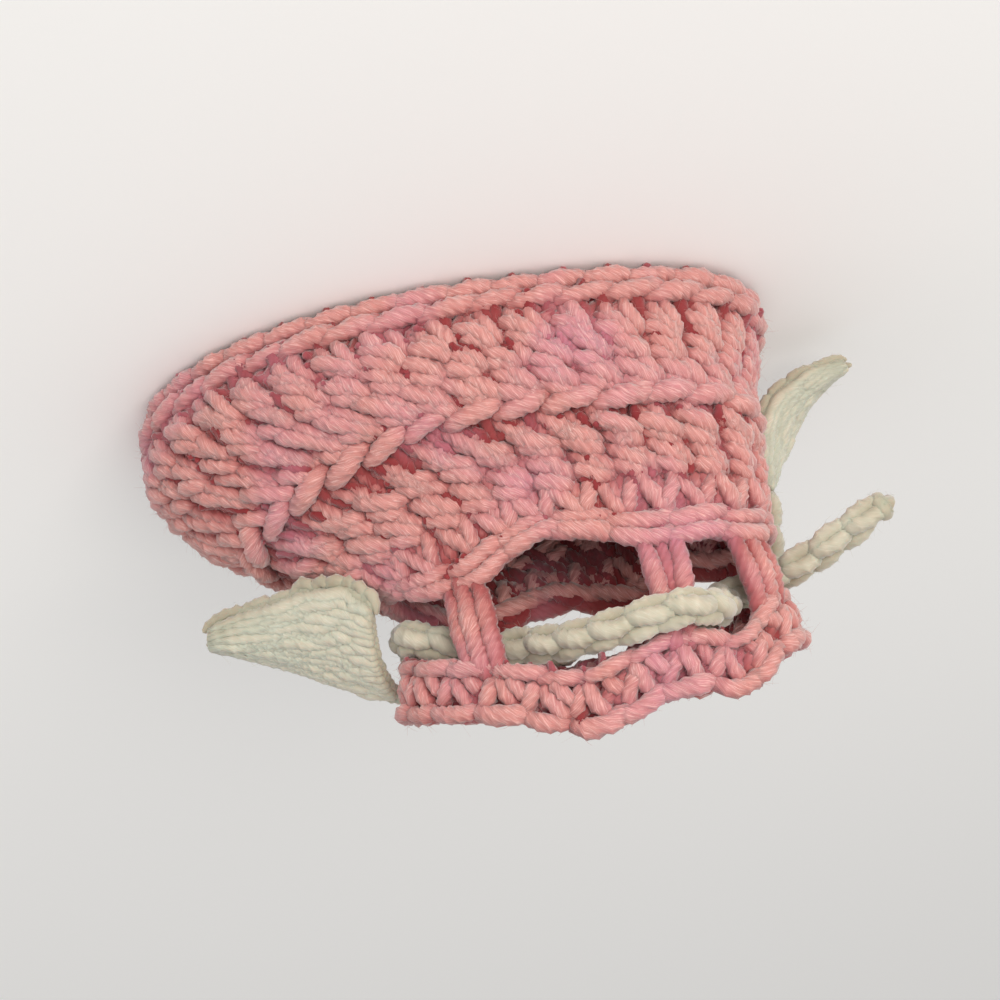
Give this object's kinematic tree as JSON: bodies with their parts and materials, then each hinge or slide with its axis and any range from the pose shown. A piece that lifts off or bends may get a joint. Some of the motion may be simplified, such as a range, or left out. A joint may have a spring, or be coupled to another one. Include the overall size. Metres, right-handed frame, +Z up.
{
  "type": "crocheted baby bootie",
  "caption": "Crocheted baby bootie with a ridged upper, an eyelet round, a wavy hem, and a woven drawstring that ends in a cord and a leaf.",
  "frame": {"origin": "on the floor under the middle of the bootie", "axes": "+X to the toe, +Z up, the wearer's right side is -Y"},
  "size_m": [0.1014, 0.0511, 0.0608],
  "materials": {
    "pink yarn": "matt",
    "deep pink yarn": "matt",
    "white yarn": "matt"
  },
  "bodies": {
    "root": {"sole": "deep pink yarn", "upper": "pink yarn", "drawstring": "white yarn", "tie_end_short": "white yarn", "tie_end_long": "white yarn", "tie_leaf": "white yarn", "front_leaf": "white yarn"}
  },
  "joints": []
}
